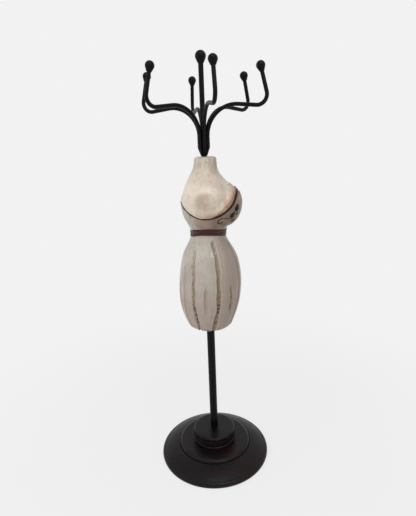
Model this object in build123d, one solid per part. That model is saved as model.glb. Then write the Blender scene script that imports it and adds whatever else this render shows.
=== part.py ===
"""Dress-form jewellery stand, one solid for each piece that comes apart on a bench.

Millimetres, +Z up, origin at the centre of the underside.
The figure faces +X and its left side is +Y.
"""

import os
from math import cos, radians, sin, tan

from build123d import *

# Fits shared by the whole stand
RUNNING_CLEARANCE = 0.05
GLUE_GAP = 0.05
RESIN_CLEARANCE = 0.3
CUT_OVERRUN = 3.0

# Felt pad under the base
FELT_THICKNESS = 1.0
FELT_INSET = 1.6

# Turned wood base, heights above its own underside
BASE_RADIUS = 49.1
RIM_FOOT_INSET = 1.3
RIM_WIDEST_HEIGHT = 2.0
RIM_TOP_INSET = 2.6
RIM_TOP_HEIGHT = 5.6
FLANGE_CROWN = 0.7
TIER_RADIUS = 32.5
TIER_FOOT_HEIGHT = 11.2
TIER_ROUND = 2.8
TIER_QUIRK = 0.5
BEAD_RADIUS = 18.8
BEAD_ROUND = 1.25
BEAD_NECK_DEPTH = 0.6
BEAD_NECK_HEIGHT = 0.7
PUCK_RADIUS = 19.0
PUCK_HEIGHT = 8.4
PUCK_FOOT_ROUND = 0.8
PUCK_LIP_HEIGHT = 2.2
PUCK_LIP_INSET = 0.35
PUCK_LIP_ROUND = 1.4
PUCK_GROOVE_WIDTH = 0.5
PUCK_GROOVE_DEPTH = 0.7
RECESS_RADIUS = 9.0
RECESS_DEPTH = 9.5

# Support rod with a shoulder and a threaded stud at each end
ROD_RADIUS = 3.4
ROD_LENGTH = 103.8
STUD_RADIUS = 2.5
STUD_CHAMFER = 0.5
STUD_PROUD = 1.0
UPPER_STUD_LENGTH = 13.0
WASHER_RADIUS = 6.5
WASHER_THICKNESS = 1.2
NUT_FLATS = 8.0
NUT_HEIGHT = 4.7
NUT_CHAMFER_DEG = 30

# Resin figure: hip sizes, and sections as shares of the height and of the hips
SIDES = (1, -1)
FIGURE_HEIGHT = 141.4
HIP_FRONT = 27.3
HIP_BACK = 25.1
HIP_SIDE = 27.8
DRESS_THICKNESS = 0.9
HEM_ROUND = 3.6
NECK_ROUND = 2.0
SKIRT_ROW_SHARES = (
    (0.000, 0.656, 0.713, 0.676),
    (0.110, 0.872, 0.940, 0.885),
    (0.246, 0.996, 1.000, 1.000),
    (0.370, 0.967, 0.924, 0.957),
    (0.480, 0.769, 0.741, 0.777),
    (0.577, 0.562, 0.520, 0.610),
)
TORSO_ROW_SHARES = (
    (0.620, 0.640, 0.570, 0.640),
    (0.660, 0.758, 0.669, 0.737),
    (0.740, 0.846, 0.765, 0.906),
    (0.805, 0.791, 0.721, 0.942),
    (0.865, 0.593, 0.598, 0.705),
    (0.920, 0.399, 0.422, 0.421),
    (1.000, 0.344, 0.319, 0.317),
)
BODICE_ROWS = slice(1, 5)

# Bust, two tall ellipsoids that lean forwards at the top
BUST_RADIUS = 11.3
BUST_HALF_HEIGHT = 15.4
BUST_SPREAD = 11.0
BUST_LEAN_DEG = 14
CUP_STAND = 1.5
BUST_FRONT_SHARE = 0.578
BUST_HEIGHT_SHARE = 0.738

# Arm-holes, flat cuts that face a little downwards and back
ARMHOLE_SIDE = 24.4
ARMHOLE_HEIGHT_SHARE = 0.764
ARMHOLE_DROOP_DEG = 8
ARMHOLE_TURN_DEG = 5
ARMHOLE_ROUND = 0.8

# Neckline seen from the side: shares of the hip's front depth and of the height
NECKLINE_BACK_SHARES = (-0.692, 0.768)
NECKLINE_DIP_SHARES = (-0.051, 0.679)
NECKLINE_FRONT_SHARES = (0.571, 0.721)
NECKLINE_CHEST_SHARES = (0.806, 0.771)
NECKLINE_CREST_SHARES = (0.905, 0.820)

# Pleats: half turns from the front, mirrored to the other side
LONG_PLEAT_SHARES = (0.150, 0.420, 0.645, 0.790)
SHORT_PLEAT_SHARES = (0.275, 0.530, 0.900)
LONG_PLEAT_SPAN_SHARES = (0.540, 0.275, 0.004)
SHORT_PLEAT_SPAN_SHARES = (0.310, 0.205, 0.095)
PLEAT_CUT_RADIUS = 1.8
LONG_PLEAT_DEPTHS = (0.3, 1.7, 1.4)
SHORT_PLEAT_DEPTHS = (-0.2, 1.2, -0.2)

# Waist belt, which rises towards the sides
BELT_HEIGHT = 5.3
BELT_THICKNESS = 0.5
BELT_ARCH_RISE = 2.9
BELT_HEIGHT_SHARE = 0.575

# Threaded bushes cast into the figure
BUSH_WALL = 1.8
BUSH_COVER = 2.0
ROD_BUSH_LENGTH = 14.0
NECK_BUSH_LENGTH = 11.0

# Hook tree: heights above the neck's top, reaches from the axis
POST_RADIUS = 1.95
POST_RISE = 71.9
POST_STUD_LENGTH = 12.0
FINIAL_RADIUS = 4.1
ARM_COUNT = 6
ARM_PHASE_DEG = 10.0
WIRE_RADIUS = 1.5
ARM_SHOULDER_RISE = 39.6
ARM_ARCH_RADIUS = 22.0
HOOK_CORNER_REACH = 51.7
HOOK_CORNER_RISE = 34.2
HOOK_BEND_RADIUS = 7.0
TIP_SETBACK = 6.7
TIP_RISE = 61.6
TIP_RADIUS = 3.3
BALL_TAPER_DEG = 25
BALL_COLLAR_WALL = 0.3
GRIND_START_RISE = 7.0
GRIND_END_RADIUS = 2.5
TREE_SEAT_GAP = 0.4

# Heights and radii that follow from the sizes above
TIER_TOP_HEIGHT = TIER_FOOT_HEIGHT + TIER_ROUND
PUCK_FOOT_HEIGHT = TIER_TOP_HEIGHT + 2 * BEAD_ROUND + BEAD_NECK_HEIGHT
BASE_HEIGHT = PUCK_FOOT_HEIGHT + PUCK_HEIGHT
ROD_FOOT = FELT_THICKNESS + BASE_HEIGHT
FIGURE_FOOT = ROD_FOOT + ROD_LENGTH
NECK_TOP = FIGURE_FOOT + FIGURE_HEIGHT
RECESS_CEILING = FELT_THICKNESS + RECESS_DEPTH
NUT_TOP = RECESS_CEILING - WASHER_THICKNESS
WIRE_PITCH_RADIUS = POST_RADIUS + WIRE_RADIUS + GLUE_GAP
STUD_BORE_RADIUS = STUD_RADIUS + RUNNING_CLEARANCE
POST_BORE_RADIUS = POST_RADIUS + RUNNING_CLEARANCE
TIP_REACH = HOOK_CORNER_REACH - TIP_SETBACK


def turned(points_and_arcs):
    """Spin a closed outline, drawn as radius and height, about the stand's axis."""
    outline = Plane.XZ * make_face(points_and_arcs)
    return revolve(outline, Axis.Z)


def disc(radius, height, foot):
    """Upright cylinder with its lower face at foot."""
    return Pos(0, 0, foot) * Cylinder(radius, height, align=(Align.CENTER, Align.CENTER, Align.MIN))


def base():
    """Wood turning: rounded rim, crowned flange, tier, bead and puck."""
    foot = FELT_THICKNESS
    rim_foot = (BASE_RADIUS - RIM_FOOT_INSET, foot)
    rim_widest = (BASE_RADIUS, foot + RIM_WIDEST_HEIGHT)
    rim_top = (BASE_RADIUS - RIM_TOP_INSET, foot + RIM_TOP_HEIGHT)
    flange_top = (TIER_RADIUS + TIER_QUIRK, foot + TIER_FOOT_HEIGHT)
    quirk = (TIER_RADIUS, foot + TIER_FOOT_HEIGHT - TIER_QUIRK)
    tier_foot = (TIER_RADIUS, foot + TIER_FOOT_HEIGHT)
    tier_top = (TIER_RADIUS - TIER_ROUND, foot + TIER_TOP_HEIGHT)
    bead_foot = (BEAD_RADIUS - BEAD_ROUND, foot + TIER_TOP_HEIGHT)
    bead_top = (BEAD_RADIUS - BEAD_ROUND, foot + TIER_TOP_HEIGHT + 2 * BEAD_ROUND)
    neck_foot = (bead_top[0] - BEAD_NECK_DEPTH, bead_top[1])
    neck_top = (neck_foot[0], foot + PUCK_FOOT_HEIGHT)
    puck_foot = (PUCK_RADIUS - PUCK_FOOT_ROUND, foot + PUCK_FOOT_HEIGHT)
    puck_wall = (PUCK_RADIUS, foot + PUCK_FOOT_HEIGHT + PUCK_FOOT_ROUND)
    lip_radius = PUCK_RADIUS - PUCK_LIP_INSET
    groove_radius = PUCK_RADIUS - PUCK_GROOVE_DEPTH
    lip_foot = foot + BASE_HEIGHT - PUCK_LIP_HEIGHT
    groove_foot = lip_foot - PUCK_GROOVE_WIDTH
    lip_wall = (lip_radius, foot + BASE_HEIGHT - PUCK_LIP_ROUND)
    lip_top = (lip_radius - PUCK_LIP_ROUND, foot + BASE_HEIGHT)
    outline = [
        Line((0, foot), rim_foot),
        ThreePointArc(rim_foot, rim_widest, rim_top),
        SagittaArc(rim_top, flange_top, -FLANGE_CROWN),
        Polyline(flange_top, quirk, tier_foot),
        RadiusArc(tier_foot, tier_top, -TIER_ROUND),
        Line(tier_top, bead_foot),
        RadiusArc(bead_foot, bead_top, -BEAD_ROUND),
        Polyline(bead_top, neck_foot, neck_top, puck_foot),
        RadiusArc(puck_foot, puck_wall, -PUCK_FOOT_ROUND),
        Polyline(
            puck_wall,
            (PUCK_RADIUS, groove_foot),
            (groove_radius, groove_foot),
            (groove_radius, lip_foot),
            (lip_radius, lip_foot),
            lip_wall,
        ),
        RadiusArc(lip_wall, lip_top, -PUCK_LIP_ROUND),
        Polyline(lip_top, (0, foot + BASE_HEIGHT), (0, foot)),
    ]
    bore = disc(STUD_BORE_RADIUS, BASE_HEIGHT + CUT_OVERRUN, foot)
    recess = disc(RECESS_RADIUS, RECESS_DEPTH, foot)
    return turned(outline) - bore - recess


def felt_pad():
    """Felt disc glued under the base, over the nut's recess."""
    return disc(BASE_RADIUS - RIM_FOOT_INSET - FELT_INSET, FELT_THICKNESS, 0)


def support_rod():
    """Steel rod whose shoulders bear on the puck and on the hem's underside."""
    stud_foot = NUT_TOP - NUT_HEIGHT - STUD_PROUD
    stud_head = FIGURE_FOOT + UPPER_STUD_LENGTH
    chamfer_radius = STUD_RADIUS - STUD_CHAMFER
    return turned(
        Polyline(
            (0, stud_foot),
            (chamfer_radius, stud_foot),
            (STUD_RADIUS, stud_foot + STUD_CHAMFER),
            (STUD_RADIUS, ROD_FOOT),
            (ROD_RADIUS, ROD_FOOT),
            (ROD_RADIUS, FIGURE_FOOT),
            (STUD_RADIUS, FIGURE_FOOT),
            (STUD_RADIUS, stud_head - STUD_CHAMFER),
            (chamfer_radius, stud_head),
            (0, stud_head),
            (0, stud_foot),
        )
    )


def rod_washer():
    """Flat washer against the recess's ceiling."""
    bore = disc(STUD_BORE_RADIUS, WASHER_THICKNESS, NUT_TOP)
    return disc(WASHER_RADIUS, WASHER_THICKNESS, NUT_TOP) - bore


def rod_nut():
    """Hexagon nut with both faces turned to a chamfer."""
    foot = NUT_TOP - NUT_HEIGHT
    corner_radius = NUT_FLATS / (2 * cos(radians(30)))
    hexagon = Pos(0, 0, foot) * extrude(RegularPolygon(corner_radius, 6), NUT_HEIGHT)
    chamfer = (corner_radius - NUT_FLATS / 2) * tan(radians(NUT_CHAMFER_DEG))
    rounding = turned(
        Polyline(
            (0, foot),
            (NUT_FLATS / 2, foot),
            (corner_radius, foot + chamfer),
            (corner_radius, NUT_TOP - chamfer),
            (NUT_FLATS / 2, NUT_TOP),
            (0, NUT_TOP),
            (0, foot),
        )
    )
    return (hexagon & rounding) - disc(STUD_BORE_RADIUS, NUT_HEIGHT, foot)


def figure_height(share):
    """Height in the stand of a share of the figure."""
    return FIGURE_FOOT + share * FIGURE_HEIGHT


def side_point(shares):
    """Point of the side view from its shares of depth and height."""
    return (shares[0] * HIP_FRONT, figure_height(shares[1]))


def body_section(row, grow):
    """Closed outline of half an ellipse to the front and half to the back."""
    height, front, back, side = row
    half_width = side * HIP_SIDE + grow
    fore = EllipticalCenterArc((0, 0), front * HIP_FRONT + grow, half_width, -90, arc_size=180)
    aft = EllipticalCenterArc((0, 0), back * HIP_BACK + grow, half_width, 90, arc_size=180)
    return Pos(0, 0, figure_height(height)) * make_face([fore, aft])


def dress_body(grow):
    """Skirt and bodice, two lofts that meet at the waist."""
    skirt = [body_section(row, grow) for row in SKIRT_ROW_SHARES]
    bodice = [body_section(row, grow + DRESS_THICKNESS) for row in TORSO_ROW_SHARES[BODICE_ROWS]]
    return loft(skirt) + loft([skirt[-1]] + bodice)


def bust(grow):
    """Two breasts, each an upright ellipsoid of revolution."""
    arc = EllipticalCenterArc((0, 0), BUST_RADIUS + grow, BUST_HALF_HEIGHT + grow, -90, arc_size=180)
    upright = Rot(0, BUST_LEAN_DEG, 0) * turned([arc, Line(arc @ 1, arc @ 0)])
    front, height = BUST_FRONT_SHARE * HIP_FRONT, figure_height(BUST_HEIGHT_SHARE)
    return [Pos(front, side * BUST_SPREAD, height) * upright for side in SIDES]


def armhole_cuts():
    """Blocks that cut the shoulders flat where the arms would start."""
    block = Box(HIP_FRONT + HIP_BACK, 2 * HIP_SIDE, FIGURE_HEIGHT / 2)
    cuts = []
    for side in SIDES:
        face = Pos(0, side * ARMHOLE_SIDE, figure_height(ARMHOLE_HEIGHT_SHARE))
        turn = Rot(-side * ARMHOLE_DROOP_DEG, 0, side * ARMHOLE_TURN_DEG)
        cuts.append(face * turn * Pos(0, side * HIP_SIDE, 0) * block)
    return cuts


def above_neckline():
    """Everything over the neckline: its side outline, carried across the figure."""
    back = side_point(NECKLINE_BACK_SHARES)
    front = side_point(NECKLINE_FRONT_SHARES)
    crest = side_point(NECKLINE_CREST_SHARES)
    beyond_back = -(HIP_FRONT + HIP_BACK)
    outline = [
        ThreePointArc(back, side_point(NECKLINE_DIP_SHARES), front),
        ThreePointArc(front, side_point(NECKLINE_CHEST_SHARES), crest),
        Polyline(crest, (crest[0], NECK_TOP), (beyond_back, NECK_TOP), (beyond_back, back[1]), back),
    ]
    return extrude(Plane.XZ * make_face(outline), 2 * HIP_SIDE, both=True)


def skirt_radius(half_turn_share, height_share):
    """Skirt's radius at a turn from the front, between the two nearest rows."""
    rows = SKIRT_ROW_SHARES
    upper = next(i for i, row in enumerate(rows) if row[0] >= height_share and i > 0)
    low, high = rows[upper - 1], rows[upper]
    blend = (height_share - low[0]) / (high[0] - low[0])
    front, back, side = [low[k] + blend * (high[k] - low[k]) for k in (1, 2, 3)]
    angle = half_turn_share * radians(180)
    depth = front * HIP_FRONT if cos(angle) > 0 else back * HIP_BACK
    return 1 / ((cos(angle) / depth) ** 2 + (sin(angle) / (side * HIP_SIDE)) ** 2) ** 0.5


def pleat(half_turn_share, span_shares, depths):
    """Round-bottomed cut that follows the skirt down one side."""
    points = []
    for height_share, depth in zip(span_shares, depths):
        reach = skirt_radius(half_turn_share, height_share) + PLEAT_CUT_RADIUS - depth
        points.append((reach, figure_height(height_share)))
    path = Plane.XZ * ThreePointArc(*points)
    cutter = sweep(Plane(path @ 0, z_dir=path % 0) * Circle(PLEAT_CUT_RADIUS), path)
    return [Rot(0, 0, side * 180 * half_turn_share) * cutter for side in SIDES]


def pleats():
    """Long folds from belt to hem with short ones between."""
    cuts = []
    for share in LONG_PLEAT_SHARES:
        cuts += pleat(share, LONG_PLEAT_SPAN_SHARES, LONG_PLEAT_DEPTHS)
    for share in SHORT_PLEAT_SHARES:
        cuts += pleat(share, SHORT_PLEAT_SPAN_SHARES, SHORT_PLEAT_DEPTHS)
    return cuts


def dress():
    """Skirt and bodice in relief over the body, with the neckline and the pleats cut."""
    body = dress_body(0)
    hem = body.faces().sort_by(Axis.Z)[0].edges()
    return fillet(hem, HEM_ROUND) + bust(DRESS_THICKNESS) - above_neckline() - pleats()


def skin():
    """Neck, shoulders and the chest that the bodice's cups stand off."""
    body = loft([body_section(row, 0) for row in TORSO_ROW_SHARES])
    neck_edge = body.faces().sort_by(Axis.Z)[-1].edges()
    shoulders = fillet(neck_edge, NECK_ROUND) - armhole_cuts()
    rims = shoulders.faces().filter_by(GeomType.PLANE).filter_by(Axis.Z, reverse=True).edges()
    return fillet(rims, ARMHOLE_ROUND) + bust(-CUP_STAND)


def bush_pocket(inner_radius, length, foot):
    """Space that a cast-in bush fills."""
    return disc(inner_radius + BUSH_WALL, length, foot)


def dress_form():
    """The resin casting, bored for its two bushes."""
    rod_hole = disc(STUD_RADIUS + RESIN_CLEARANCE, BUSH_COVER + CUT_OVERRUN, FIGURE_FOOT - CUT_OVERRUN)
    rod_pocket = bush_pocket(STUD_BORE_RADIUS, ROD_BUSH_LENGTH, FIGURE_FOOT + BUSH_COVER)
    neck_hole = disc(POST_RADIUS + RESIN_CLEARANCE, BUSH_COVER + CUT_OVERRUN, NECK_TOP - BUSH_COVER)
    neck_foot = NECK_TOP - BUSH_COVER - NECK_BUSH_LENGTH
    neck_pocket = bush_pocket(POST_BORE_RADIUS, NECK_BUSH_LENGTH, neck_foot)
    return dress() + skin() - rod_hole - rod_pocket - neck_hole - neck_pocket


def bush(inner_radius, length, foot):
    """Plain tube that stands for a threaded insert."""
    return bush_pocket(inner_radius, length, foot) - disc(inner_radius, length, foot)


def waist_belt(figure):
    """Thin band laid round the waist, high at the sides and low at front and back."""
    middle = figure_height(BELT_HEIGHT_SHARE)
    side = 2 * HIP_SIDE
    waist_side = min(row[3] for row in SKIRT_ROW_SHARES) * HIP_SIDE
    end_rise = BELT_ARCH_RISE * (side / waist_side) ** 2
    foot = middle - BELT_HEIGHT / 2
    head = middle + BELT_HEIGHT / 2
    lower = ThreePointArc((-side, foot + end_rise), (0, foot), (side, foot + end_rise))
    upper = ThreePointArc((-side, head + end_rise), (0, head), (side, head + end_rise))
    ends = [Line(lower @ 0, upper @ 0), Line(lower @ 1, upper @ 1)]
    slab = extrude(Plane.YZ * make_face([lower, upper] + ends), HIP_FRONT + HIP_BACK, both=True)
    return (dress_body(BELT_THICKNESS) & slab) - figure


def ball(radius, stem_radius):
    """Pear-shaped ball about the origin, its collar pointing down the stem."""
    collar_radius = stem_radius + BALL_COLLAR_WALL
    taper = radians(BALL_TAPER_DEG)
    shoulder = (radius * cos(taper), -radius * sin(taper))
    collar_foot = shoulder[1] - (shoulder[0] - collar_radius) / tan(taper)
    outline = [
        ThreePointArc((0, radius), (radius, 0), shoulder),
        Polyline(shoulder, (collar_radius, collar_foot), (0, collar_foot), (0, radius)),
    ]
    bore = disc(stem_radius + GLUE_GAP, -collar_foot, collar_foot)
    return turned(outline) - bore


def centre_post():
    """Straight thicker wire, its lower end the stud in the neck's bush."""
    foot = NECK_TOP - POST_STUD_LENGTH
    return disc(POST_RADIUS, POST_RISE + POST_STUD_LENGTH, foot)


def arm_path():
    """Side view of one arm: up the post, over the arch, down into the hook and up to the tip."""
    return Plane.XZ * FilletPolyline(
        (WIRE_PITCH_RADIUS, NECK_TOP + TREE_SEAT_GAP),
        (WIRE_PITCH_RADIUS, NECK_TOP + ARM_SHOULDER_RISE),
        (HOOK_CORNER_REACH, NECK_TOP + HOOK_CORNER_RISE),
        (TIP_REACH, NECK_TOP + TIP_RISE),
        radius=(ARM_ARCH_RADIUS, HOOK_BEND_RADIUS),
    )


def ground_away():
    """What grinding takes off the brazed wires to leave a cone at the neck."""
    foot = NECK_TOP + TREE_SEAT_GAP
    outer_radius = WIRE_PITCH_RADIUS + WIRE_RADIUS
    beyond = outer_radius + CUT_OVERRUN
    return turned(
        Polyline(
            (GRIND_END_RADIUS, foot),
            (outer_radius, NECK_TOP + GRIND_START_RISE),
            (beyond, NECK_TOP + GRIND_START_RISE),
            (beyond, foot),
            (GRIND_END_RADIUS, foot),
        )
    )


def hook_arm():
    """One bent wire in the plane of +X, with its lower end ground."""
    path = arm_path()
    wire = sweep(Plane(path @ 0, z_dir=path % 0) * Circle(WIRE_RADIUS), path)
    return wire - ground_away()


def hook_tip():
    """Ball tip in line with the end of the arm's stem."""
    path = arm_path()
    end = path @ 1
    lean = Vector(0, 0, 1).get_signed_angle(path % 1, Vector(0, 1, 0))
    return Pos(*end) * Rot(0, lean, 0) * ball(TIP_RADIUS, WIRE_RADIUS)


def pieces():
    """Every node of the stand by name."""
    figure = dress_form()
    rod_bush_foot = FIGURE_FOOT + BUSH_COVER
    neck_bush_foot = NECK_TOP - BUSH_COVER - NECK_BUSH_LENGTH
    nodes = {
        "base": base(),
        "felt_pad": felt_pad(),
        "support_rod": support_rod(),
        "rod_washer": rod_washer(),
        "rod_nut": rod_nut(),
        "dress_form": figure,
        "waist_belt": waist_belt(figure),
        "rod_bush": bush(STUD_BORE_RADIUS, ROD_BUSH_LENGTH, rod_bush_foot),
        "neck_bush": bush(POST_BORE_RADIUS, NECK_BUSH_LENGTH, neck_bush_foot),
        "centre_post": centre_post(),
        "finial_ball": Pos(0, 0, NECK_TOP + POST_RISE) * ball(FINIAL_RADIUS, POST_RADIUS),
    }
    arm, tip = hook_arm(), hook_tip()
    for index in range(ARM_COUNT):
        turn = Rot(0, 0, ARM_PHASE_DEG - 90 + index * 360 / ARM_COUNT)
        nodes[f"arm_{index + 1}"] = turn * arm
        nodes[f"tip_{index + 1}"] = turn * tip
    return nodes


os.makedirs("parts", exist_ok=True)
for name, shape in pieces().items():
    export_step(shape, f"parts/{name}.step")
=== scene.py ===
import math

import bmesh
import bpy
import numpy as np
from mathutils import Matrix, Vector


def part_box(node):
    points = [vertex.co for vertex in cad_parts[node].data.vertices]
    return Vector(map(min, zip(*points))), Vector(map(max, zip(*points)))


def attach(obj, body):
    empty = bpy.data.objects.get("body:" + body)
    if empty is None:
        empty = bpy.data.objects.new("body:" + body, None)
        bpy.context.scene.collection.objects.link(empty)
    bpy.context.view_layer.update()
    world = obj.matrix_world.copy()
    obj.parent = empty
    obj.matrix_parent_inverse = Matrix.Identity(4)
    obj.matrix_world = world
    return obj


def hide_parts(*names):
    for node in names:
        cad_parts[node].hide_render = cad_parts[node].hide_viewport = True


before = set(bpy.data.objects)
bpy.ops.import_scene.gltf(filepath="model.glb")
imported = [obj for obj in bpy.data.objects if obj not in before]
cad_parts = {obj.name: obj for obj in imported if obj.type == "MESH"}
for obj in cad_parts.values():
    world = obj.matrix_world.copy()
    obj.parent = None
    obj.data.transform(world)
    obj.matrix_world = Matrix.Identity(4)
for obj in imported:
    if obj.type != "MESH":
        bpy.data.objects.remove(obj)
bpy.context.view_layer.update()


# Felt pad: a disc of black wool felt, die-cut and glued under the wood base.
# It covers the nut's recess and keeps the base from scratching the table.
def new_finish(name, **fixed):
    """Material whose shader sockets hold the values that are the same all over."""
    material = bpy.data.materials.new(name)
    material.use_nodes = True
    shader = material.node_tree.nodes["Principled BSDF"]
    for socket, value in fixed.items():
        shader.inputs[socket.replace("_", " ")].default_value = value
    return material, shader


def add(owner, kind, settings=(), **inputs):
    """Node in a material, its inputs either linked or set."""
    tree = owner.id_data if isinstance(owner, bpy.types.Node) else owner.node_tree
    made = tree.nodes.new("ShaderNode" + kind)
    for name, value in dict(settings).items():
        setattr(made, name, value)
    for name, value in inputs.items():
        place = made.inputs[int(name[1:])] if name[1:].isdigit() else made.inputs[name.replace("_", " ")]
        if isinstance(value, bpy.types.NodeSocket):
            tree.links.new(value, place)
        else:
            place.default_value = value
    return made


def srgb(red, green, blue):
    """Colour as a picture shows it, 0 to 255, turned to the shader's linear light."""
    parts = [c / 255 for c in (red, green, blue)]
    return [c / 12.92 if c <= 0.04045 else ((c + 0.055) / 1.055) ** 2.4 for c in parts] + [1.0]


def mixed(owner, factor, first, second):
    """Colour between two others."""
    return add(owner, "Mix", {"data_type": "RGBA"}, _0=factor, _6=first, _7=second).outputs[2]


def ranged(owner, value, low, high, start=0.0, end=1.0):
    """Soft step of a value between two limits."""
    made = add(owner, "MapRange", {"interpolation_type": "SMOOTHSTEP"}, Value=value)
    for name, number in (("From Min", low), ("From Max", high), ("To Min", start), ("To Max", end)):
        made.inputs[name].default_value = number
    return made.outputs[0]


def sums(owner, operation, first, second):
    """One sum on two values."""
    return add(owner, "Math", {"operation": operation}, _0=first, _1=second).outputs[0]


def times(owner, first, second):
    """Product of two values."""
    return sums(owner, "MULTIPLY", first, second)


def grain(owner, scale, detail=4.0, stretch=(1, 1, 1), rough=0.55):
    """Noise on the object's own coordinates; scale is in cycles per metre."""
    place = add(owner, "TexCoord").outputs["Object"]
    laid = add(owner, "Mapping", Vector=place, Scale=stretch).outputs[0]
    return add(owner, "TexNoise", Vector=laid, Scale=scale, Detail=detail, Roughness=rough).outputs["Fac"]


def roughen(shader, height, distance):
    """Bump on the shader's normal; distance in metres."""
    bump = add(shader, "Bump", Height=height, Distance=distance, Strength=1.0)
    shader.id_data.links.new(bump.outputs[0], shader.inputs["Normal"])


def colour(shader, socket, name="Base Color"):
    """Link a colour or value to the shader."""
    shader.id_data.links.new(socket, shader.inputs[name])


def dress_node(name, material):
    """Give a construction node its finish."""
    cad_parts[name].material_slots[0].material = material


felt, shader = new_finish("black_felt", Roughness=1.0, Specular_IOR_Level=0.1, Sheen_Weight=0.6)
fibres = grain(shader, 2600, detail=6, stretch=(1, 1, 0.3))
colour(shader, mixed(shader, fibres, srgb(22, 21, 22), srgb(58, 56, 57)))
FELT_NAP = 0.0004
roughen(shader, fibres, FELT_NAP)
dress_node("felt_pad", felt)


# Base: a face-turned hardwood disc with a rounded rim, a tier, a bead and a puck.
# Stained almost black, so that only a red-brown cast is left of the wood, and lacquered to a satin.
stained_wood, shader = new_finish("stained_wood", Specular_IOR_Level=0.17)
pores = grain(shader, 900, detail=8, stretch=(0.07, 1, 1), rough=0.65)
figure_in_wood = grain(shader, 95, detail=3, stretch=(0.25, 1, 1))
cast = ranged(shader, figure_in_wood, 0.42, 0.72)
stain = mixed(shader, cast, srgb(10, 9, 12), srgb(29, 13, 15))
dark_pores = ranged(shader, pores, 0.30, 0.46, 0.55, 0.0)
stain = mixed(shader, dark_pores, stain, srgb(11, 9, 10))
place = add(shader, "TexCoord").outputs["Object"]
flat = add(shader, "VectorMath", {"operation": "MULTIPLY"}, _0=place, _1=(1, 1, 0)).outputs[0]
out_from_axis = add(shader, "VectorMath", {"operation": "LENGTH"}, _0=flat).outputs["Value"]
RINGS_REACH = 0.05  # metres from the axis that the rings are shares of
RUBBED_AND_SHEEN_RINGS = (  # share of the reach, strength of the rubbed-off stain and painted highlight there
    (0.0, 0), (0.345, 0), (0.362, 0.75), (0.380, 0), (0.590, 0), (0.618, 0.55), (0.650, 0),
    (0.90, 0), (0.945, 0.35), (0.985, 0))
ramp = add(shader, "ValToRGB", Fac=sums(shader, "DIVIDE", out_from_axis, RINGS_REACH))
stops = ramp.color_ramp.elements
for spot, (at, level) in enumerate(RUBBED_AND_SHEEN_RINGS):
    stop = stops[spot] if spot < len(stops) else stops.new(at)
    stop.position = at
    stop.color = (level, level, level, 1)
# Rings on the puck's lip, the tier's edge and the rim: rubbed wear plus a painted highlight where the rounded
# edges catch the light.
uneven = ranged(shader, grain(shader, 420, detail=5), 0.45, 0.7)
rubbing_and_sheen = times(shader, ramp.outputs[0], uneven)
colour(shader, mixed(shader, rubbing_and_sheen, stain, srgb(52, 46, 46)))
lacquer = grain(shader, 260, detail=5)
colour(shader, ranged(shader, lacquer, 0.3, 0.75, 0.31, 0.42), "Roughness")
PORE_DEPTH = 0.00012
roughen(shader, pores, PORE_DEPTH)
dress_node("base", stained_wood)


# Washer and nut: zinc-plated stock hardware that clamps the rod from below.
# They sit in the recess over the felt and show only when the base is taken apart.
zinc, shader = new_finish("zinc_plate", Metallic=1.0)
frost = grain(shader, 1500, detail=5)
colour(shader, mixed(shader, frost, srgb(168, 170, 176), srgb(205, 205, 206)))
colour(shader, ranged(shader, frost, 0.3, 0.7, 0.28, 0.46), "Roughness")
dress_node("rod_washer", zinc)
dress_node("rod_nut", zinc)


# Support rod: a steel rod with a shoulder and a stud at each end, dipped in black enamel.
# The coat is semi-gloss and a little uneven, with a few faint rust-brown patches.
enamel, shader = new_finish("black_enamel", Specular_IOR_Level=0.12)
flow = grain(shader, 130, detail=2)
black = mixed(shader, ranged(shader, flow, 0.35, 0.7), srgb(6, 6, 7), srgb(11, 10, 12))
rust = ranged(shader, grain(shader, 170, detail=5), 0.62, 0.78, 0.0, 0.5)
colour(shader, mixed(shader, rust, black, srgb(38, 22, 19)))
colour(shader, ranged(shader, flow, 0.3, 0.75, 0.32, 0.42), "Roughness")
ENAMEL_WAVES = 0.0002
roughen(shader, flow, ENAMEL_WAVES)
dress_node("support_rod", enamel)


# Dress form: one resin casting, a figure without head or arms in a strapless pleated dress.
# Painted by hand in ivory and taupe, rubbed with a brown wash that stays in the folds, then varnished.
MM = 0.001
hem_corner, neck_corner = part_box("dress_form")
HEM = hem_corner[2] / MM
TALL = neck_corner[2] / MM - HEM

# Sections of the dress and of the skin: height over the hem, depth to the front and to the back, half width
DRESS_ROWS = np.array([
    (0.0, 17.9, 17.9, 18.8), (15.5, 23.8, 23.6, 24.6), (34.8, 27.2, 25.1, 27.8), (52.3, 26.4, 23.2, 26.6),
    (67.9, 21.0, 18.6, 21.6), (81.6, 15.3, 13.05, 17.0), (93.3, 21.6, 17.7, 21.4), (104.6, 24.0, 20.1, 26.1),
    (113.8, 22.5, 19.0, 27.1), (122.3, 17.1, 15.9, 20.5)])
SKIN_ROWS = np.array([
    (87.7, 17.5, 14.3, 17.8), (93.3, 20.7, 16.8, 20.5), (104.6, 23.1, 19.2, 25.2), (113.8, 23.2, 18.1, 26.2),
    (122.3, 16.8, 15.0, 19.6), (130.1, 10.9, 10.6, 11.8), (135.3, 9.75, 8.75, 10.2), (141.4, 9.4, 8.0, 8.9)])
HEM_ROUND = 3.6
NECK_ROUND = 2.2

# Bust: two leaning ellipsoids that the dress is drawn over
BUST_FRONT = 15.8
BUST_SIDE = 11.0
BUST_HEIGHT = 104.4
BUST_RADIUS = 11.3
BUST_HALF_HEIGHT = 15.4
BUST_LEAN = math.radians(12)
DRESS_THICKNESS = 0.9
BUST_FILLET = 8.0

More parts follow.
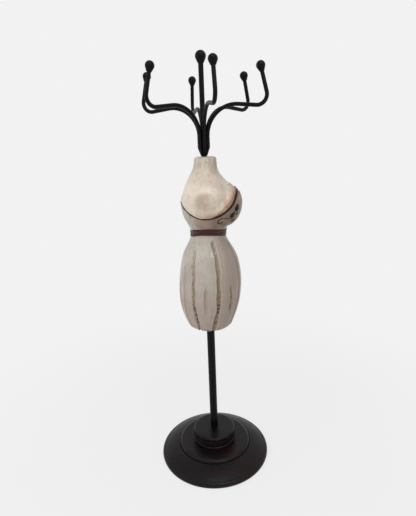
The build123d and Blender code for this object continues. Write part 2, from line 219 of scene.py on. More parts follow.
# Neckline in the side view, as depth to the front and height, and how the skin meets it
NECKLINE = ((-18.9, 105.4), (-1.4, 95.8), (15.6, 101.9), (22.2, 108.6), (24.9, 114.4))
MEAN_RADIUS = 25.0
LEAST_SLOPE = 0.6
CHEST_DROP = 2.8
CHEST_FALL = 1.1
CHEST_FALL_START = 2.5
CHEST_FALL_REACH = 40.0
CHEST_FILLET = 7.0
SKIN_COVER = 0.5
SKIN_COVER_FALL = 0.9
SKIN_COVER_REACH = 20.0
SKIN_FILLET = 1.5
CUP_ROLL = 1.5
CUP_ROLL_HEIGHT = 5.5
CUP_ROLL_FRONT = (0.55, 0.85)  # cosine of the turn from the front
NECKLINE_EDGE = 0.35

# Arm-hole: a flat that droops and turns a little, with an uneven edge
ARMHOLE_OUT = 24.9
ARMHOLE_HEIGHT = 107.6
ARMHOLE_DROOP = math.radians(8)
ARMHOLE_TURN = math.radians(6)
ARMHOLE_CENTRE = 2.0
ARMHOLE_LOBES = ((0.14, 4, 0.0), (0.20, 3, 0.6 - math.pi / 2), (0.14, 2, -1.2))  # height, count, phase
ARMHOLE_FILLET = 1.5
ARMHOLE_FACING = 0.25
LEAST_FACING = 0.05
NO_ARMHOLE = 99.0

# Pleats: degrees from the front at the top, middle and foot, heights of top and foot, depth, half width, wash
PLEATS = (
    (22, 25, 31, 78, 0, 1.2, 1.1, 0.5), (76, 72.5, 82, 80, 0, 1.7, 1.5, 0.85),
    (121, 118, 119, 74, 0, 1.25, 1.2, 0.72), (141, 142, 143, 60, 0, 1.1, 1.1, 0.25),
    (48.5, 49.5, 50, 44, 14, 1.3, 1.0, 0.7), (94.5, 95, 94, 45, 15, 1.5, 1.4, 0.3),
    (162, 162, 161, 46, 14, 1.2, 1.0, 0.5))
PLEAT_TOP_RUN = 7.0
PLEAT_FOOT_RUN = (2.0, 9.0)
VALLEY_TOP_RUN = (8.0, 16.0)
VALLEY_FOOT_RUN = (6.0, 9.0)
VALLEY_SHARE = 0.42
VALLEY_WIDTH = 4.2
TRENCH_SHARE = 0.72
TRENCH_POWER = 2.4
TRENCH_TILT = 0.25
LIP_SHARE = 0.30
LIP_OUT = 0.9
LIP_WIDTH = 0.75
GATHER_RISE = 0.55
GATHER_ACROSS = (0.5, 1.5)
GATHER_DOWN = (2.5, 1.7)
EDGE_WIDTH = 0.5
PLEAT_WANDER = (0.8, 6.3)  # degrees to each side, millimetres of height per radian of the wave
PLEAT_TREMOR = (0.45, 2.3)
PLEAT_UNEVEN = (0.16, 3.7)  # share of the width, millimetres of height per radian of the wave
PLEAT_END_SHARE = 0.55


def through(table, column, at):
    """Natural cubic curve through one column of a table."""
    knots, values = table[:, 0], table[:, column]
    span = np.diff(knots)
    count = len(knots)
    system, right = np.eye(count), np.zeros(count)
    for i in range(1, count - 1):
        system[i, i - 1:i + 2] = span[i - 1], 2 * (span[i - 1] + span[i]), span[i]
        right[i] = 6 * ((values[i + 1] - values[i]) / span[i] - (values[i] - values[i - 1]) / span[i - 1])
    bend = np.linalg.solve(system, right)
    i = np.clip(np.searchsorted(knots, at) - 1, 0, count - 2)
    near, far, width = at - knots[i], knots[i + 1] - at, span[i]
    curved = (bend[i] * far**3 + bend[i + 1] * near**3) / (6 * width)
    from_below = (values[i] / width - bend[i] * width / 6) * far
    from_above = (values[i + 1] / width - bend[i + 1] * width / 6) * near
    return curved + from_below + from_above


def oval(rows, angle, height):
    """Radius of a section, half an ellipse to the front and half to the back."""
    height = np.clip(height, rows[0, 0], rows[-1, 0])
    depth = np.where(np.cos(angle) > 0, through(rows, 1, height), through(rows, 2, height))
    half_width = through(rows, 3, height)
    return 1 / np.sqrt((np.cos(angle) / depth) ** 2 + (np.sin(angle) / half_width) ** 2)


def breast(angle, height):
    """Where a level line from the axis leaves the nearer breast, falling off where it misses."""
    radius = BUST_RADIUS + DRESS_THICKNESS
    half = BUST_HALF_HEIGHT + DRESS_THICKNESS
    up = height - BUST_HEIGHT
    along_x, along_z = math.sin(BUST_LEAN), math.cos(BUST_LEAN)
    squeeze = 1 / half**2 - 1 / radius**2
    step = np.cos(angle) * along_x
    start = up * along_z - BUST_FRONT * along_x
    towards = np.cos(angle) * BUST_FRONT + np.abs(np.sin(angle)) * BUST_SIDE
    a = 1 / radius**2 + squeeze * step**2
    b = 2 * (-towards / radius**2 + squeeze * step * start)
    c = (BUST_FRONT**2 + BUST_SIDE**2 + up**2) / radius**2 + squeeze * start**2 - 1
    inside = b * b - 4 * a * c
    return (np.sign(inside) * np.sqrt(np.abs(inside)) - b) / (2 * a)


def joined(first, second, fillet):
    """The larger of two radii, with the valley between them filled."""
    meet = np.maximum(fillet - np.abs(first - second), 0) / fillet
    return np.maximum(first, second) + meet**2 * fillet / 4


def soft_step(value, low, high):
    """0 below, 1 above, smooth between."""
    t = np.clip((value - low) / (high - low), 0, 1)
    return t * t * (3 - 2 * t)


def turn_from_front(angle):
    """Degrees from the front, the same on both sides."""
    return np.abs(np.degrees(np.arctan2(np.sin(angle), np.cos(angle))))


def arc_height(points, at):
    """Height of the hollow arc through three points."""
    (x1, z1), (x2, z2), (x3, z3) = points
    s1, s2, s3 = [x * x + z * z for x, z in points]
    twice = 2 * (x1 * (z2 - z3) + x2 * (z3 - z1) + x3 * (z1 - z2))
    middle = (s1 * (z2 - z3) + s2 * (z3 - z1) + s3 * (z1 - z2)) / twice
    centre = (s1 * (x3 - x2) + s2 * (x1 - x3) + s3 * (x2 - x1)) / twice
    return centre - np.sqrt(np.maximum((x1 - middle) ** 2 + (z1 - centre) ** 2 - (at - middle) ** 2, 0))


def bare_dress(angle, height):
    """Outside of the dress before its folds, as if it ran up over the skin."""
    return joined(oval(DRESS_ROWS, angle, height), breast(angle, height), BUST_FILLET)


def above_cut(angle, height):
    """Height over the side-view arcs that the neckline is cut by."""
    front = bare_dress(angle, height) * np.cos(angle)
    on_back_arc = front < NECKLINE[2][0]
    line = np.where(on_back_arc, arc_height(NECKLINE[:3], front), arc_height(NECKLINE[2:], front))
    return height - line


def over_neckline(angle, height):
    """Distance over the neckline along the surface, below 0 on the dress."""
    up, round_axis = 0.4, 0.02
    rise = (above_cut(angle, height + up) - above_cut(angle, height - up)) / (2 * up)
    across = above_cut(angle + round_axis, height) - above_cut(angle - round_axis, height)
    run = across / (2 * round_axis * MEAN_RADIUS)
    return above_cut(angle, height) / np.maximum(np.sqrt(rise**2 + run**2), LEAST_SLOPE)


def armhole_room(angle, height):
    """Distance along a level line to the flat that stands for the cut-off arm."""
    level = math.cos(ARMHOLE_DROOP)
    normal = (-math.sin(ARMHOLE_TURN) * level, math.cos(ARMHOLE_TURN) * level, -math.sin(ARMHOLE_DROOP))
    facing = np.cos(angle) * normal[0] + np.abs(np.sin(angle)) * normal[1]
    up = height - ARMHOLE_HEIGHT
    room = (ARMHOLE_OUT * normal[1] - up * normal[2]) / np.maximum(facing, LEAST_FACING)
    about = np.arctan2(up, ARMHOLE_OUT * np.cos(angle) + ARMHOLE_CENTRE)
    for rise, count, phase in ARMHOLE_LOBES:
        room = room + rise * np.cos(count * about + phase)
    return np.where(facing > ARMHOLE_FACING, room, NO_ARMHOLE)


def pleat_cut(angle, height, radius):
    """Depth of the folds, how much wash lies on their floor and where their darker edge of wash and painted
    shade runs.
    """
    turn = np.degrees(np.arctan2(np.sin(angle), np.cos(angle)))
    depth, floor, edge = np.zeros_like(height), np.zeros_like(height), np.zeros_like(height)
    for number, (top, middle, foot, high, low, deep, half, wash) in enumerate(PLEATS):
        along = np.clip((high - height) / (high - low), 0, 1)
        knee = 2 * middle - (top + foot) / 2
        bend = (1 - along) ** 2 * top + 2 * along * (1 - along) * knee + along**2 * foot
        ends = 1 - soft_step(height, high - PLEAT_TOP_RUN, high)
        valley = ends
        if low:
            ends = ends * soft_step(height, low - PLEAT_FOOT_RUN[0], low + PLEAT_FOOT_RUN[1])
            valley = 1 - soft_step(height, high - VALLEY_TOP_RUN[0], high + VALLEY_TOP_RUN[1])
            valley = valley * soft_step(height, low - VALLEY_FOOT_RUN[0], low + VALLEY_FOOT_RUN[1])
        for side in (-1, 1):
            wander = PLEAT_WANDER[0] * np.sin(height / PLEAT_WANDER[1] + 2.1 * number + side)
            wander = wander + PLEAT_TREMOR[0] * np.sin(height / PLEAT_TREMOR[1] + number)
            away = np.radians(side * turn - bend - wander) * radius
            uneven = 1 + PLEAT_UNEVEN[0] * np.sin(height / PLEAT_UNEVEN[1] + number * side)
            wide = half * (PLEAT_END_SHARE + (1 - PLEAT_END_SHARE) * ends) * uneven
            trench = np.exp(-np.abs(away / wide) ** TRENCH_POWER)
            lip = np.exp(-((np.abs(away) - wide - LIP_OUT) / LIP_WIDTH) ** 2)
            depth += deep * ends * TRENCH_SHARE * trench * (1 + TRENCH_TILT * away / wide)
            depth += deep * valley * VALLEY_SHARE * np.exp(-(away / VALLEY_WIDTH) ** 2)
            depth -= deep * ends * LIP_SHARE * lip
            if not low:
                across = (away - GATHER_ACROSS[0]) / GATHER_ACROSS[1]
                down = (height - high + GATHER_DOWN[0]) / GATHER_DOWN[1]
                depth -= GATHER_RISE * np.exp(-across**2 - down**2)
            floor = np.maximum(floor, wash * ends * trench)
            edge = np.maximum(edge, wash * ends * np.exp(-((away - wide) / EDGE_WIDTH) ** 2))
    return depth, floor, edge


def figure_radius(angle, height):
    """Outside of the painted casting, and the masks that its paint follows."""
    over = over_neckline(angle, height)
    dress = bare_dress(angle, height)
    chest_fall = np.clip(over - CHEST_FALL_START, 0, CHEST_FALL_REACH)
    chest = dress - CHEST_DROP - CHEST_FALL * chest_fall
    body = joined(oval(SKIN_ROWS, angle, height), chest, CHEST_FILLET)
    flat_arm = armhole_room(angle, height)
    skin = -joined(-body, -flat_arm, ARMHOLE_FILLET)
    cover_fall = SKIN_COVER_FALL * np.clip(over, 0, SKIN_COVER_REACH)
    skin = -joined(-skin, SKIN_COVER - dress - cover_fall, SKIN_FILLET)
    in_front = soft_step(np.cos(angle), *CUP_ROLL_FRONT)
    dress = dress - CUP_ROLL * in_front * (1 - soft_step(-over, 0, CUP_ROLL_HEIGHT))
    radius = dress + (skin - dress) * soft_step(over, -NECKLINE_EDGE, NECKLINE_EDGE)
    depth, floor, edge = pleat_cut(angle, height, radius)
    low = np.clip(HEM_ROUND - height, 0, HEM_ROUND)
    high = np.clip(NECK_ROUND - (TALL - height), 0, NECK_ROUND)
    at_hem = HEM_ROUND - np.sqrt(HEM_ROUND**2 - low**2)
    at_neck = NECK_ROUND - np.sqrt(NECK_ROUND**2 - high**2)
    return radius - depth - at_hem - at_neck, over, floor, edge, flat_arm - body


MERGE_DISTANCE = 1e-4


def mesh_piece(name, bm, material, body):
    """Turn a bmesh, in millimetres, into a smooth piece that rides on a body."""
    bmesh.ops.remove_doubles(bm, verts=bm.verts, dist=MERGE_DISTANCE)
    bmesh.ops.recalc_face_normals(bm, faces=bm.faces)
    bmesh.ops.scale(bm, vec=(MM, MM, MM), verts=bm.verts)
    mesh = bpy.data.meshes.new(name)
    bm.to_mesh(mesh)
    bm.free()
    mesh.shade_smooth()
    mesh.materials.append(material)
    piece = bpy.data.objects.new(name, mesh)
    bpy.context.scene.collection.objects.link(piece)
    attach(piece, body)
    return piece


varnish = {"Specular_IOR_Level": 0.3, "Coat_Weight": 0.34, "Coat_Roughness": 0.05}
painted_resin, shader = new_finish("painted_resin", **varnish)
over, floor_wash, edge_wash_and_shade, armhole, round_front = [
    add(shader, "Attribute", {"attribute_name": name}).outputs["Fac"]
    for name in ("over_neckline", "fold_floor", "fold_edge", "armhole", "turn")]
high = add(shader, "SeparateXYZ", Vector=add(shader, "TexCoord").outputs["Object"]).outputs["Z"]
cloudy = grain(shader, 75)
patchy = grain(shader, 48, detail=2)
brushed = grain(shader, 420, detail=5, stretch=(1, 1, 0.35))
speckle = grain(shader, 1500, detail=3)

# Skin: clouded ivory with pink patches, greyer at the neck, brown in the arm-hole and along the neckline
NECK_GREY = (0.253, 0.267)  # heights in metres
BEHIND_ARM = (74, 98)  # degrees from the front
NEAR_CUPS = (125, 60)
UNDER_ARM = (76, 106)
WARM_BAND = (6.5, 0.3)  # millimetres over the neckline
PALE_BAND = (1.4, 0.55)
ivory = mixed(shader, ranged(shader, cloudy, 0.35, 0.68), srgb(229, 217, 202), srgb(215, 202, 185))
ivory = mixed(shader, ranged(shader, patchy, 0.50, 0.64, 0.0, 0.42), ivory, srgb(222, 190, 174))
at_neck = times(shader, ranged(shader, high, *NECK_GREY), ranged(shader, brushed, 0.3, 0.62, 0.45, 1.0))
ivory = mixed(shader, at_neck, ivory, srgb(181, 171, 152))
behind = ranged(shader, round_front, *BEHIND_ARM, 0.45, 1.0)
in_hole = times(shader, ranged(shader, armhole, -0.55, 0.5, 0.8, 0.0), behind)
ivory = mixed(shader, in_hole, ivory, srgb(184, 165, 142))
outer_rim = ranged(shader, armhole, 1.6, 0.4, 0.0, 0.25)
rim = times(shader, ranged(shader, armhole, -0.4, 0.4), outer_rim)
ivory = mixed(shader, rim, ivory, srgb(172, 146, 116))
ivory = mixed(shader, ranged(shader, brushed, 0.50, 0.74, 0.0, 0.45), ivory, srgb(180, 154, 126))
near_cups = ranged(shader, round_front, *NEAR_CUPS, 0.12, 1.0)
warm = times(shader, ranged(shader, over, *WARM_BAND), near_cups)
warm = times(shader, warm, ranged(shader, brushed, 0.30, 0.62, 0.6, 1.0))
ivory = mixed(shader, warm, ivory, srgb(168, 122, 82))
under_arm = ranged(shader, round_front, *UNDER_ARM)
pale_edge = times(shader, ranged(shader, over, *PALE_BAND, 0.0, 0.5), under_arm)
ivory = mixed(shader, pale_edge, ivory, srgb(226, 210, 188))

# Dress: taupe with painted shade that darkens it towards the hem and towards the front, and a browner bodice
SKIRT_SHADE = (0.205, 0.138)
SKIRT_FRONT_SHADE = (88, 45)
BODICE_START = (0.209, 0.216)
BODICE_BACK = (100, 130)
# Painted shade: the skirt darkens towards the hem.
taupe = mixed(shader, ranged(shader, high, *SKIRT_SHADE), srgb(186, 180, 169), srgb(168, 153, 143))
at_back = ranged(shader, round_front, *BODICE_BACK)
bodice = mixed(shader, at_back, srgb(134, 111, 94), srgb(192, 184, 174))
stains = ranged(shader, grain(shader, 130), 0.48, 0.66, 0.0, 0.6)
bodice = mixed(shader, stains, bodice, srgb(122, 94, 76))
# Painted shade: darker towards the front, the side turned from the key lamp.
front_shade = ranged(shader, round_front, *SKIRT_FRONT_SHADE, 0.0, 0.6)
taupe = mixed(shader, front_shade, taupe, srgb(156, 132, 117))
taupe = mixed(shader, ranged(shader, high, *BODICE_START), taupe, bodice)
taupe = mixed(shader, ranged(shader, patchy, 0.50, 0.66, 0.0, 0.4), taupe, srgb(186, 162, 150))
taupe = mixed(shader, ranged(shader, cloudy, 0.40, 0.66, 0.0, 0.4), taupe, srgb(160, 146, 134))
taupe = mixed(shader, ranged(shader, brushed, 0.54, 0.75, 0.0, 0.4), taupe, srgb(146, 122, 104))

# Wash in the folds: golden on their floor, brown wash and painted shade along one edge, with dark specks low
# down
WASH_DEEPENS = (0.200, 0.160)
SPECKS_DEEPEN = (0.176, 0.152)
low_down = ranged(shader, high, *WASH_DEEPENS, 0.5, 1.0)
wash = times(shader, ranged(shader, floor_wash, 0.08, 0.75), low_down)
taupe = mixed(shader, wash, taupe, mixed(shader, speckle, srgb(116, 92, 62), srgb(170, 150, 118)))
# The edge line is brown wash plus painted shade on one wall of each fold.
broken = ranged(shader, grain(shader, 330), 0.45, 0.60, 0.08, 0.9)
edging = times(shader, ranged(shader, edge_wash_and_shade, 0.2, 0.7), broken)
edging = times(shader, edging, low_down)
taupe = mixed(shader, edging, taupe, srgb(100, 80, 64))
flecks = ranged(shader, grain(shader, 540, detail=3), 0.49, 0.58)
specks = times(shader, ranged(shader, floor_wash, 0.3, 0.55), flecks)
specks = times(shader, specks, ranged(shader, high, *SPECKS_DEEPEN, 0.20, 0.95))
taupe = mixed(shader, specks, taupe, srgb(66, 44, 32))
colour(shader, mixed(shader, ranged(shader, over, -0.1, 0.1), taupe, ivory))
colour(shader, ranged(shader, cloudy, 0.3, 0.7, 0.28, 0.44), "Roughness")
PAINT_WAVES = 0.0006
BRUSH_SHARE = 0.25
paint_relief = sums(shader, "ADD", cloudy, times(shader, brushed, BRUSH_SHARE))
roughen(shader, paint_relief, PAINT_WAVES)

# Spun blank with the bushes' pockets; its outer wall is then set to the figure's radius
ROD_HOLE = 2.8
ROD_POCKET = 4.35
ROD_POCKET_FOOT = 2.0
ROD_POCKET_TOP = 16.0
NECK_HOLE = 2.25
NECK_POCKET = 3.8
NECK_POCKET_TOP = TALL - 2.0
NECK_POCKET_FOOT = TALL - 13.0
BLANK_RADIUS = 30.0
BLANK_RINGS = 186
BLANK_STEPS = 440
OUTER_WALL = 5  # the outline's sixth edge
outline = (
    (0, ROD_POCKET_TOP), (ROD_POCKET, ROD_POCKET_TOP), (ROD_POCKET, ROD_POCKET_FOOT),
    (ROD_HOLE, ROD_POCKET_FOOT), (ROD_HOLE, 0), (BLANK_RADIUS, 0),
    (BLANK_RADIUS, TALL), (NECK_HOLE, TALL), (NECK_HOLE, NECK_POCKET_TOP),
    (NECK_POCKET, NECK_POCKET_TOP), (NECK_POCKET, NECK_POCKET_FOOT), (0, NECK_POCKET_FOOT))
bm = bmesh.new()
corners = [bm.verts.new((out, 0, HEM + up)) for out, up in outline]
runs = [bm.edges.new(pair) for pair in zip(corners, corners[1:])]
bmesh.ops.subdivide_edges(bm, edges=[runs[OUTER_WALL]], cuts=BLANK_RINGS)
bmesh.ops.spin(bm, geom=bm.verts[:] + bm.edges[:], cent=(0, 0, 0), axis=(0, 0, 1), dvec=(0, 0, 0),
               angle=2 * math.pi, steps=BLANK_STEPS, use_merge=True, use_duplicate=False)
wall = [v for v in bm.verts if math.hypot(v.co.x, v.co.y) > (BLANK_RADIUS + ROD_POCKET) / 2]
angles = np.array([math.atan2(v.co.y, v.co.x) for v in wall])
heights = np.array([v.co.z - HEM for v in wall])
radii = figure_radius(angles, heights)[0]
for v, angle, radius in zip(wall, angles, radii):
    v.co.x = radius * math.cos(angle)
    v.co.y = radius * math.sin(angle)
form = mesh_piece("dress_form_painted", bm, painted_resin, "figure")
places = np.array([v.co for v in form.data.vertices]) / MM
angles = np.arctan2(places[:, 1], places[:, 0])
radii, over_line, fold_floor, fold_edge, arm_gap = figure_radius(angles, places[:, 2] - HEM)
NECKLINE_MASK_REACH = 20.0
ARMHOLE_MASK_REACH = 5.0
masks = {
    "over_neckline": np.clip(over_line, -NECKLINE_MASK_REACH, NECKLINE_MASK_REACH),
    "fold_floor": fold_floor,
    "fold_edge": fold_edge,
    "armhole": np.clip(arm_gap, -ARMHOLE_MASK_REACH, ARMHOLE_MASK_REACH),
    "turn": turn_from_front(angles),
}
for name, values in masks.items():
    mask = form.data.attributes.new(name, "FLOAT", "POINT")
    mask.data.foreach_set("value", values.astype(np.float32))
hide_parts("dress_form")


# Bushes: turned brass inserts cast into the hem and the neck.
# The rod's stud and the post's foot screw into them; they are out of sight.
bush_brass, shader = new_finish("bush_brass", Metallic=1.0)
turning = grain(shader, 2400, detail=3, stretch=(0.1, 0.1, 1))
colour(shader, mixed(shader, turning, srgb(188, 148, 76), srgb(222, 188, 112)))
colour(shader, ranged(shader, turning, 0.3, 0.7, 0.25, 0.42), "Roughness")
dress_node("rod_bush", bush_brass)
dress_node("neck_bush", bush_brass)


# Waist belt: a thin maroon band laid round the waist, cut and set on by hand.
# Its edges wander a little, and its semi-matt face is rubbed lighter in places.
belt_maroon, shader = new_finish("belt_maroon", Specular_IOR_Level=0.2)
worn = grain(shader, 210, detail=5, stretch=(1, 1, 3))
maroon = mixed(shader, ranged(shader, worn, 0.35, 0.6), srgb(54, 29, 29), srgb(66, 37, 36))
rubbed = ranged(shader, grain(shader, 90, stretch=(1, 1, 5)), 0.54, 0.66, 0.0, 0.55)
colour(shader, mixed(shader, rubbed, maroon, srgb(112, 76, 76)))
colour(shader, ranged(shader, worn, 0.3, 0.7, 0.36, 0.55), "Roughness")
BELT_TEXTURE = 0.0001
roughen(shader, grain(shader, 1400), BELT_TEXTURE)
BELT_LINE = 81.3
BELT_TALL = 5.3
BELT_RISE = 2.9
BELT_SEGMENTS = 240
BELT_WAVE = 0.16
BELT_EDGE_WAVE = 0.10
BELT_PROFILE = (  # share of the belt's height, how far it stands off the dress
    (0.02, -0.5), (0.0, 0.1), (0.03, 0.32), (0.12, 0.5), (0.5, 0.56), (0.88, 0.5), (0.97, 0.32), (1.0, 0.1),
    (0.98, -0.5))


def ring_edges(verts):
    """Edges that join the vertices of one ring."""
    return list({e for v in verts for e in v.link_edges if all(u in verts for u in e.verts)})


bm = bmesh.new()
ring = bmesh.ops.create_circle(bm, cap_ends=False, radius=MEAN_RADIUS, segments=BELT_SEGMENTS)["verts"]
rings = [set(ring)]
for step in BELT_PROFILE[1:]:
    grown = bmesh.ops.extrude_edge_only(bm, edges=ring_edges(rings[-1]))["geom"]
    rings.append({g for g in grown if isinstance(g, bmesh.types.BMVert)})
first_edges = ring_edges(rings[0])
last_edges = ring_edges(rings[-1])
for (share, stand), verts in zip(BELT_PROFILE, rings):
    for v in verts:
        angle = math.atan2(v.co.y, v.co.x)
        wave = BELT_WAVE * math.sin(3 * angle + 1) + BELT_EDGE_WAVE * math.sin(7 * angle + 2 + 3 * share)
        up = BELT_LINE + BELT_RISE * math.sin(angle) ** 2 + (share - 0.5) * BELT_TALL + wave
        out = float(figure_radius(np.array([angle]), np.array([up]))[0][0]) + stand
        v.co = (out * math.cos(angle), out * math.sin(angle), HEM + up)
bmesh.ops.bridge_loops(bm, edges=first_edges + last_edges)
belt = mesh_piece("waist_belt_band", bm, belt_maroon, "figure")
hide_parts("waist_belt")


# Neckline piping and ornament: lines of thick black paint drawn over the varnish by hand.
# The piping follows the dress's top edge; a scroll and leaves lie on each side of the bust.
line_paint, shader = new_finish("line_paint", Specular_IOR_Level=0.2)
thick = grain(shader, 700)
colour(shader, mixed(shader, ranged(shader, thick, 0.4, 0.75), srgb(17, 15, 17), srgb(44, 38, 36)))
colour(shader, ranged(shader, thick, 0.3, 0.7, 0.25, 0.45), "Roughness")
PAINT_RIDGES = 0.0001
roughen(shader, thick, PAINT_RIDGES)


def on_figure(angle, height, stand=0.0):
    """Point on the casting, in millimetres, at degrees from the front and a height over the hem."""
    turn = math.radians(angle)
    out = float(figure_radius(np.array([turn]), np.array([height]))[0][0]) + stand
    return Vector((out * math.cos(turn), out * math.sin(turn), HEM + height))


def paint_line(name, points, widths, closed=False):
    """Round bead of paint along points on the figure."""
    drawn = bpy.data.curves.new(name + "_line", "CURVE")
    drawn.dimensions = "3D"
    drawn.bevel_depth = MM
    drawn.bevel_resolution = 3
    drawn.resolution_u = 4
    drawn.use_fill_caps = True
    path = drawn.splines.new("NURBS")
    path.points.add(len(points) - 1)
    for point, spot, width in zip(path.points, points, widths):
        point.co = (*(spot * MM), 1)
        point.radius = width
    path.use_cyclic_u = closed
    path.use_endpoint_u = not closed
    path.order_u = 4
    holder = bpy.data.objects.new(name + "_line", drawn)
    bpy.context.scene.collection.objects.link(holder)
    bpy.context.view_layer.update()
    mesh = bpy.data.meshes.new_from_object(holder.evaluated_get(bpy.context.evaluated_depsgraph_get()))
    bpy.data.objects.remove(holder)
    bm = bmesh.new()
    bm.from_mesh(mesh)
    bpy.data.meshes.remove(mesh)
    bmesh.ops.scale(bm, vec=(1 / MM,) * 3, verts=bm.verts)
    return bm


PIPING_STEP = 2.5
PIPING_SEARCH = (90.0, 122.0)  # heights that the neckline runs between
PIPING_HALVINGS = 24
PIPING_FRONT = (45, 100)  # degrees from the front where it thins out
PIPING_DROP = 0.45
PIPING_SINK = 0.25
PIPING_THIN = 0.52
PIPING_SWELL = 0.42
PIPING_WAVE = 0.06
turns = np.arange(-180, 180, PIPING_STEP)
under = np.full(len(turns), PIPING_SEARCH[0])
above = np.full(len(turns), PIPING_SEARCH[1])
for halving in range(PIPING_HALVINGS):
    middle = (under + above) / 2
    on_dress = above_cut(np.radians(turns), middle) < 0
    under = np.where(on_dress, middle, under)
    above = np.where(on_dress, above, middle)
points = [on_figure(angle, height - PIPING_DROP, -PIPING_SINK) for angle, height in zip(turns, under)]
towards_front = 1 - soft_step(np.abs(turns), *PIPING_FRONT)
widths = PIPING_THIN + PIPING_SWELL * towards_front + PIPING_WAVE * np.sin(turns / 4)
bm = paint_line("neckline_piping", points, widths, closed=True)
mesh_piece("neckline_piping", bm, line_paint, "figure")

SCROLL = (  # degrees from the front, height over the hem, half width of the line
    (58.6, 92.3, 0.40), (60.4, 91.0, 0.42), (63.8, 90.8, 0.36), (67.2, 92.6, 0.32), (65.6, 94.6, 0.30),
    (61, 95.9, 0.30), (56, 96.0, 0.29), (51, 94.9, 0.29), (46.5, 94.9, 0.32), (43, 97.0, 0.24))
LEAVES = (  # degrees from the front, height over the hem, tilt, half length, half width
    (47.0, 98.3, 62, 2.7, 1.4), (40.4, 103.4, 72, 3.0, 1.6), (42.0, 93.4, 50, 1.7, 1.0),
    (39.6, 98.8, 60, 1.2, 0.7))
BODICE_RADIUS = 27.0
SCROLL_STAND = 0.02
LEAF_STAND = 0.05
LEAF_THICKNESS = 0.35
LEAF_TAPER = 0.45
for side, hand in ((-1, "right"), (1, "left")):
    points = [on_figure(side * angle, height, SCROLL_STAND) for angle, height, width in SCROLL]
    bm = paint_line("bodice_scroll_" + hand, points, [width for angle, height, width in SCROLL])
    for angle, height, tilt, long, wide in LEAVES:
        leaf = bmesh.ops.create_icosphere(bm, subdivisions=3, radius=1)["verts"]
        lean = math.radians(tilt)
        for v in leaf:
            along, across, rise = v.co
            across *= wide * (1 - LEAF_TAPER * along)
            along *= long
            right = along * math.cos(lean) - across * math.sin(lean)
            up = along * math.sin(lean) + across * math.cos(lean)
            turn = side * (angle - math.degrees(right / BODICE_RADIUS))
            v.co = on_figure(turn, height + up, LEAF_STAND + LEAF_THICKNESS * rise)
    mesh_piece("bodice_scroll_" + hand, bm, line_paint, "figure")


# Hook tree: a straight post with six bent wires brazed round it, all dipped in the rod's enamel.
# A cast ball is cemented on each end, and the wires' feet are ground to a cone where they meet the neck.
for name in ("centre_post", "finial_ball"):
    dress_node(name, enamel)
ARM_COUNT = 6
for number in range(1, ARM_COUNT + 1):
    dress_node(f"arm_{number}", enamel)
    dress_node(f"tip_{number}", enamel)


# Studio: a pale floor that runs into an even pale background, one large soft lamp and two weak ones.
# The camera stands where the photograph was taken from, a little tilted.
PALE = srgb(242, 242, 242)
FLOOR_RADIUS = 3.0
SHADOW_REACH = (0.05, 0.4)
bm = bmesh.new()
bmesh.ops.create_circle(bm, cap_ends=True, radius=FLOOR_RADIUS, segments=96)
floor_mesh = bpy.data.meshes.new("floor")
bm.to_mesh(floor_mesh)
bm.free()
floor = bpy.data.objects.new("floor", floor_mesh)
bpy.context.scene.collection.objects.link(floor)
floor_paper, shader = new_finish("floor_paper", Roughness=0.9, Specular_IOR_Level=0.1)
shader.inputs["Base Color"].default_value = srgb(246, 246, 246)


def plainly_seen(owner):
    """1 where the camera, a mirror or a glass looks, 0 for light that falls on other things."""
    ray = add(owner, "LightPath").outputs
    seen = sums(owner, "MAXIMUM", ray["Is Camera Ray"], ray["Is Glossy Ray"])
    return sums(owner, "MAXIMUM", seen, ray["Is Transmission Ray"])


place = add(shader, "TexCoord").outputs["Object"]
from_middle = add(shader, "VectorMath", {"operation": "LENGTH"}, _0=place).outputs["Value"]
fade = times(shader, ranged(shader, from_middle, *SHADOW_REACH, 0.86, 1.0), plainly_seen(shader))
glow = add(shader, "Emission", Color=PALE, Strength=1.0)
faded_floor = add(shader, "MixShader", _0=fade, _1=shader.outputs[0], _2=glow.outputs[0])
floor_surface = floor_paper.node_tree.nodes["Material Output"].inputs["Surface"]
floor_paper.node_tree.links.new(faded_floor.outputs[0], floor_surface)
floor_mesh.materials.append(floor_paper)

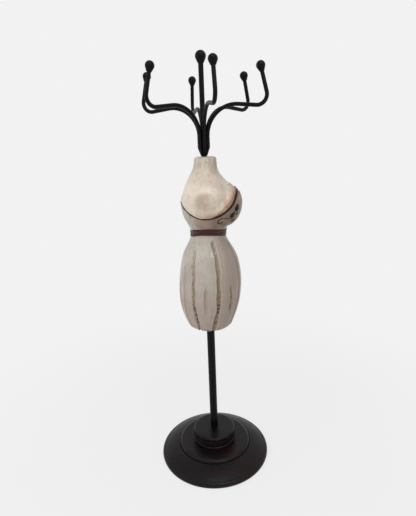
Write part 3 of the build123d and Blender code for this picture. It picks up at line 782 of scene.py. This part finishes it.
WORLD_LIGHT = 0.31
world = bpy.data.worlds.new("studio")
bpy.context.scene.world = world
world.use_nodes = True
soft = world.node_tree.nodes["Background"]
soft.inputs["Color"].default_value = (1, 1, 1, 1)
soft.inputs["Strength"].default_value = WORLD_LIGHT
shown = add(world, "Background", Color=PALE, Strength=1.0)
both = add(world, "MixShader", _0=plainly_seen(world), _1=soft.outputs[0], _2=shown.outputs[0])
world.node_tree.links.new(both.outputs[0], world.node_tree.nodes["World Output"].inputs["Surface"])

LAMPS_AIM = Vector((0, 0, 0.2))


def lamp(name, place, size, watts, mirrored):
    """Square lamp that points at the figure; glossy faces mirror it or only take its light."""
    light = bpy.data.lights.new(name, "AREA")
    light.size = size
    light.energy = watts
    holder = bpy.data.objects.new(name, light)
    holder.location = place
    holder.visible_glossy = mirrored
    holder.rotation_euler = (LAMPS_AIM - Vector(place)).to_track_quat("-Z", "Y").to_euler()
    bpy.context.scene.collection.objects.link(holder)


lamp("key_lamp", place=(-0.76, -0.76, 0.85), size=0.8, watts=7.6, mirrored=False)
lamp("top_lamp", place=(0.10, -0.55, 1.15), size=0.5, watts=2.4, mirrored=True)
lamp("glint_lamp", place=(0.46, -0.75, 0.76), size=0.09, watts=0.9, mirrored=True)

CAMERA_PLACE = (0, -0.33246, 0.28041)
CAMERA_PITCH = math.radians(15.30)
CAMERA_ROLL = math.radians(-2.148)
CAMERA_LENS = 28.84
view = bpy.data.cameras.new("view")
view.lens = CAMERA_LENS
view.sensor_width = 36
view.clip_start = 0.01
camera = bpy.data.objects.new("view", view)
bpy.context.scene.collection.objects.link(camera)
ahead = Vector((0, math.cos(CAMERA_PITCH), -math.sin(CAMERA_PITCH)))
level = Vector((1, 0, 0))
upright = Vector((0, math.sin(CAMERA_PITCH), math.cos(CAMERA_PITCH)))
right = math.cos(CAMERA_ROLL) * level + math.sin(CAMERA_ROLL) * upright
top = math.cos(CAMERA_ROLL) * upright - math.sin(CAMERA_ROLL) * level
stand = Matrix((right, top, -ahead)).transposed().to_4x4()
stand.translation = CAMERA_PLACE
camera.matrix_world = stand
bpy.context.scene.camera = camera
bpy.context.scene.view_settings.view_transform = "Standard"
